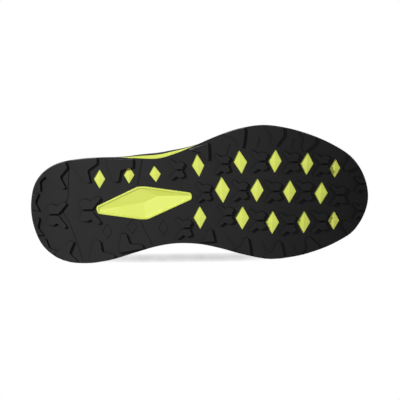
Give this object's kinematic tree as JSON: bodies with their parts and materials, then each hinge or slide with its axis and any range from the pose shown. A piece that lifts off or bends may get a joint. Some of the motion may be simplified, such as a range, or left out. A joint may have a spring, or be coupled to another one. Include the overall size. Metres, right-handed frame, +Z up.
{
  "type": "trail running shoe",
  "caption": "Right-foot trail running shoe with a lugged rubber tread, foam midsole, rhombic arch plate, mesh upper, padded tongue, lace and heel pull loop.",
  "frame": {"origin": "on the ground, below the middle of the shoe's box", "axes": "+X from heel to toe, +Y to the inner (medial) side of the foot, +Z up"},
  "size_m": [0.3001, 0.123, 0.1288],
  "materials": {
    "tread_rubber": "matte",
    "foam": "matte foam",
    "shank": "satin",
    "board": "matte",
    "insole_foam": "matte foam",
    "insole_cloth": "knit",
    "upper_mesh": "engineered mesh",
    "overlay": "matte film",
    "guard_rubber": "matte",
    "accent": "matte film",
    "webbing": "woven",
    "eyelet": "satin",
    "stiffener": "matte",
    "lining": "spacer mesh",
    "tongue_mesh": "spacer mesh",
    "lace": "braided"
  },
  "bodies": {
    "shoe": {"outsole": "tread_rubber", "midsole": "foam", "arch_shank": "shank", "strobel_board": "board", "insole_front": "insole_foam", "insole_cloth_front": "insole_cloth", "heel_panel": "upper_mesh", "outer_quarter": "upper_mesh", "inner_quarter": "upper_mesh", "vamp": "upper_mesh", "outer_eyestay": "overlay", "inner_eyestay": "overlay", "toe_cap": "guard_rubber", "outer_mudguard": "overlay", "inner_mudguard": "overlay", "heel_clip": "guard_rubber", "heel_stay": "webbing", "outer_saddle": "accent", "inner_saddle": "accent", "outer_eyelets": "eyelet", "inner_eyelets": "eyelet", "heel_counter": "stiffener", "toe_puff": "stiffener", "heel_lining": "lining", "collar_pad": "lining", "tongue_body": "tongue_mesh", "lace_keeper": "webbing", "lace": "lace"},
    "insole_lift": {"insole_heel": "insole_foam", "insole_cloth_heel": "insole_cloth"},
    "tongue_top": {"tongue_tip": "tongue_mesh"},
    "heel_loop": {"pull_loop": "webbing"}
  },
  "joints": [
    {"name": "insole_bend", "type": "hinge", "parent": "shoe", "child": "insole_lift", "pos_m": [0.04, 0, 0.0273], "axis": [0, 1, 0], "range_deg": [0, 4]},
    {"name": "tongue_bend", "type": "hinge", "parent": "shoe", "child": "tongue_top", "pos_m": [-0.047, 0, 0.111], "axis": [0, 1, 0], "range_deg": [-20, 40], "stiffness_Nm_per_rad": 0.03},
    {"name": "loop_bend", "type": "hinge", "parent": "shoe", "child": "heel_loop", "pos_m": [-0.1346, 0.0144, 0.1092], "axis": [0, 1, 0], "range_deg": [-50, 50], "stiffness_Nm_per_rad": 0.004}
  ]
}
